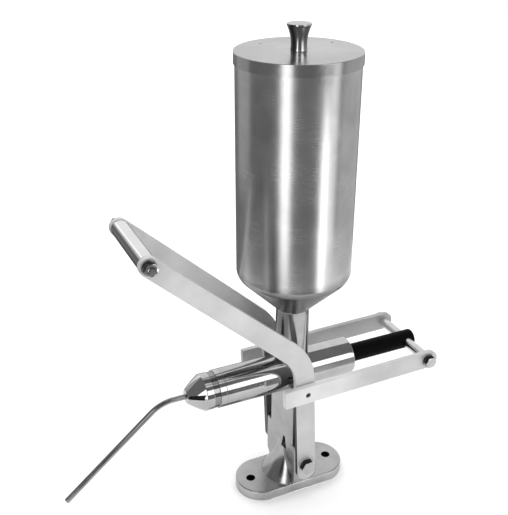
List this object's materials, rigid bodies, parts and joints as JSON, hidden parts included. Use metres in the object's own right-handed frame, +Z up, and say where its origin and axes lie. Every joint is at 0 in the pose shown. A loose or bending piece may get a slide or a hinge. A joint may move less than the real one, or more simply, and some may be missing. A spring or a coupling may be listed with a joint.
{
  "type": "donut filler machine",
  "caption": "Hand-lever donut filler: steel hopper with a loose lid, a horizontal barrel with a plunger, a bent filling tube and a flanged foot.",
  "frame": {"origin": "underside of the foot's plate, midway between its two bolt holes, below the hopper's axis", "axes": "+Z up along the hopper, +X back along the barrel to the plunger with the nozzle to -X, +Y across along the lever's pivot"},
  "size_m": [0.4499, 0.1296, 0.5598],
  "materials": {
    "cast_aluminium": "turned and brushed",
    "bar_aluminium": "satin",
    "brushed_steel": "brushed along the hopper",
    "polished_steel": "mirror polished",
    "fastener_steel": "bright zinc",
    "black_plastic": "matt",
    "white_plastic": "satin",
    "seal_rubber": "matt",
    "bush_bronze": "bored"
  },
  "bodies": {
    "root": {"foot_casting": "cast_aluminium", "pocket_plug": "polished_steel", "tie_bolt": "fastener_steel", "barrel_boss": "polished_steel", "pivot_bolts": "fastener_steel", "pivot_washers": "fastener_steel", "barrel": "polished_steel", "rear_gland": "polished_steel", "gland_seal": "seal_rubber", "nose_cap": "polished_steel", "nose_seal": "seal_rubber", "nozzle_tube": "polished_steel", "neck_tube": "brushed_steel", "hopper_shell": "brushed_steel"},
    "lever": {"lever_arm_near": "bar_aluminium", "lever_arm_far": "bar_aluminium", "pivot_bushes": "bush_bronze", "handle_tube": "polished_steel", "handle_bolt": "fastener_steel", "handle_nuts": "fastener_steel", "handle_washers": "fastener_steel"},
    "plunger": {"plunger_rod": "black_plastic", "piston": "white_plastic", "piston_rings": "seal_rubber", "piston_screw": "fastener_steel", "cross_rod": "polished_steel", "cross_rod_bolts": "fastener_steel", "cross_rod_washers": "fastener_steel"},
    "near_link": {"link_near": "bar_aluminium", "link_pin_near": "fastener_steel", "link_spacer_near": "white_plastic"},
    "far_link": {"link_far": "bar_aluminium", "link_pin_far": "fastener_steel", "link_spacer_far": "white_plastic"},
    "lid_set": {"lid": "brushed_steel", "lid_knob": "polished_steel", "knob_screw": "fastener_steel", "knob_washer": "fastener_steel"}
  },
  "joints": [
    {"name": "lever_swing", "type": "hinge", "parent": "root", "child": "lever", "pos_m": [0, 0, 0.05], "axis": [0, -1, 0], "range_deg": [0, 36]},
    {"name": "plunger_stroke", "type": "slide", "parent": "root", "child": "plunger", "axis": [-1, 0, 0], "range_m": [0, 0.064]},
    {"name": "near_link_tilt", "type": "hinge", "parent": "plunger", "child": "near_link", "pos_m": [0.1585, 0, 0.16], "axis": [0, -1, 0], "range_deg": [0, 8.25]},
    {"name": "far_link_tilt", "type": "hinge", "parent": "plunger", "child": "far_link", "pos_m": [0.1585, 0, 0.16], "axis": [0, -1, 0], "range_deg": [0, 8.25]},
    {"name": "lid_lift", "type": "slide", "parent": "root", "child": "lid_set", "axis": [0, 0, 1], "range_m": [0, 0.06]}
  ],
  "couplings": [
    {"joint": "plunger_stroke", "follows": "lever_swing", "m_per_rad": 0.10173},
    {"joint": "near_link_tilt", "follows": "lever_swing", "ratio": 0.22836},
    {"joint": "far_link_tilt", "follows": "lever_swing", "ratio": 0.22836}
  ]
}
